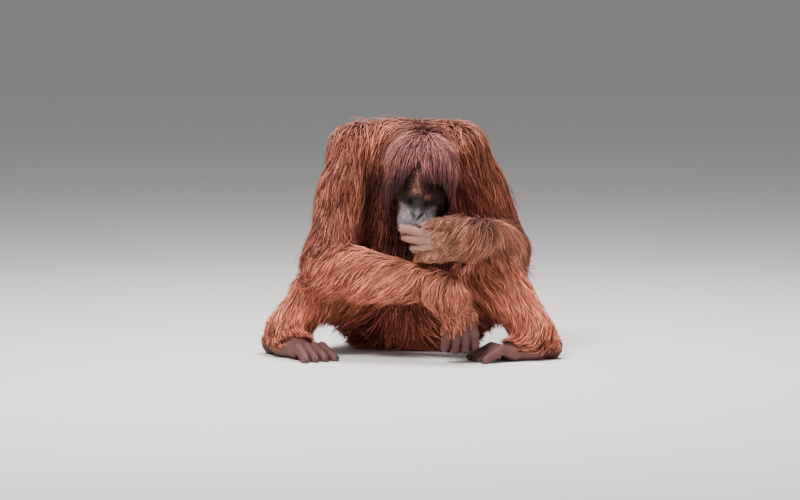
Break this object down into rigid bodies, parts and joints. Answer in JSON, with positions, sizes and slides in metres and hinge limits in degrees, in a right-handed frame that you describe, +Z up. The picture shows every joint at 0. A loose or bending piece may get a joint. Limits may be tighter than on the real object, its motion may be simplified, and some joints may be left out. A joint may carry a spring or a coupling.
{
  "type": "orangutan, adult female, sitting",
  "caption": "Sitting orangutan hunched forward, mouth resting on its left hand, right forearm across its lap and its long shaggy coat hanging down.",
  "frame": {"origin": "middle of the seat, where the animal rests on the floor", "axes": "+Z up, the animal faces -Y, +X is the animal's left"},
  "size_m": [0.7439, 0.5166, 0.5817],
  "materials": {
    "hair": "long shaggy rust-red hair",
    "skin": "bare grey-brown skin",
    "eye": "wet dark brown"
  },
  "bodies": {
    "root": {"head": "hair", "neck": "hair", "torso": "hair", "upper_arm_right": "hair", "upper_arm_left": "hair", "forearm_right": "hair", "forearm_left": "hair", "thigh_right": "hair", "thigh_left": "hair", "shin_right": "hair", "shin_left": "hair", "hand_right": "skin", "hand_left": "skin", "foot_right": "skin", "foot_left": "skin", "ear_right": "skin", "ear_left": "skin", "eye_right": "eye", "eye_left": "eye"}
  },
  "joints": []
}
